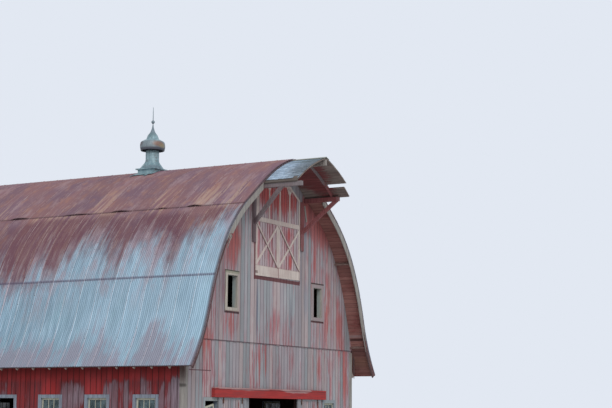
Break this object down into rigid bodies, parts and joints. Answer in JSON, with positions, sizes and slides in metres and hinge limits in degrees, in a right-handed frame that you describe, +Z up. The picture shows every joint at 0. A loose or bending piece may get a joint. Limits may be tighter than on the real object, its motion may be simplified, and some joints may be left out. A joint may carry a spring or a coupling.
{
  "type": "gothic-roof barn",
  "caption": "Timber barn with a gothic arch roof, flared eaves, hay hood over a braced hay door, sliding end doors and ridge ventilators.",
  "frame": {"origin": "ground level in the middle of the plan, on the underside of the ground floor", "axes": "+Y along the ridge from the front gable to the rear, +X to the right seen from the front, +Z up"},
  "size_m": [11.4912, 23.34, 12.42],
  "materials": {
    "concrete": "rough cast",
    "red_boards": "peeling red paint on vertical boards",
    "weathered_boards": "grey weathered boards with red paint left in streaks",
    "bare_timber": "old unpainted timber",
    "pale_timber": "old unpainted timber",
    "deck_boards": "dark stained roof boards",
    "rusted_metal": "galvanised sheet rusted to purple brown",
    "streaked_metal": "galvanised sheet with rust running down",
    "galvanised_metal": "dull galvanised sheet",
    "faded_trim": "worn off-white paint",
    "cream_sash": "old cream paint",
    "old_glass": "dusty window glass",
    "faded_door": "faded boards and bracing",
    "wood_shingles": "silvered wood shingles",
    "hood_timber": "dark weathered timber",
    "door_iron": "rusted iron",
    "red_cover": "bright red paint",
    "weathered_door": "grey weathered boards",
    "ventilator_metal": "green-grey galvanised sheet with rust"
  },
  "bodies": {
    "barn": {"barge_boards": "faded_trim", "corner_boards": "faded_trim", "door_track": "door_iron", "fly_rafters": "deck_boards", "foundation": "concrete", "front_gable": "weathered_boards", "front_wall_left": "weathered_boards", "front_wall_over_door": "weathered_boards", "front_wall_right": "weathered_boards", "gable_window_frames": "faded_trim", "ground_floor": "concrete", "hay_door_frame": "faded_trim", "hay_door_left_leaf": "faded_door", "hay_door_right_leaf": "faded_door", "hay_door_upper": "faded_door", "hood_braces": "hood_timber", "hood_plates": "hood_timber", "hood_posts": "hood_timber", "hood_rafters": "hood_timber", "hood_ridge_beam": "faded_trim", "hood_roof_left": "wood_shingles", "hood_roof_right": "wood_shingles", "left_wall": "red_boards", "lookouts": "pale_timber", "mow_floor": "bare_timber", "mow_joists": "bare_timber", "rafter_tails": "pale_timber", "rafters": "bare_timber", "rear_gable": "weathered_boards", "rear_wall": "weathered_boards", "ridge_cap": "galvanised_metal", "right_wall": "red_boards", "roof_deck_left": "deck_boards", "roof_deck_right": "deck_boards", "roof_metal_lower": "galvanised_metal", "roof_metal_middle": "streaked_metal", "roof_metal_upper": "rusted_metal", "track_cover": "red_cover", "ventilator_bases": "ventilator_metal", "ventilator_domes": "ventilator_metal", "ventilator_drums": "ventilator_metal", "ventilator_necks": "ventilator_metal", "window_frames": "faded_trim", "window_glass": "old_glass", "window_sashes": "cream_sash"},
    "left_door": {"left_door_leaf": "weathered_door", "left_door_hangers": "door_iron"},
    "right_door": {"right_door_leaf": "weathered_door", "right_door_hangers": "door_iron"}
  },
  "joints": [
    {"name": "left_door_slide", "type": "slide", "parent": "barn", "child": "left_door", "axis": [1, 0, 0], "range_m": [-0.15, 1.793]},
    {"name": "right_door_slide", "type": "slide", "parent": "barn", "child": "right_door", "axis": [-1, 0, 0], "range_m": [-0.15, 1.387]}
  ]
}
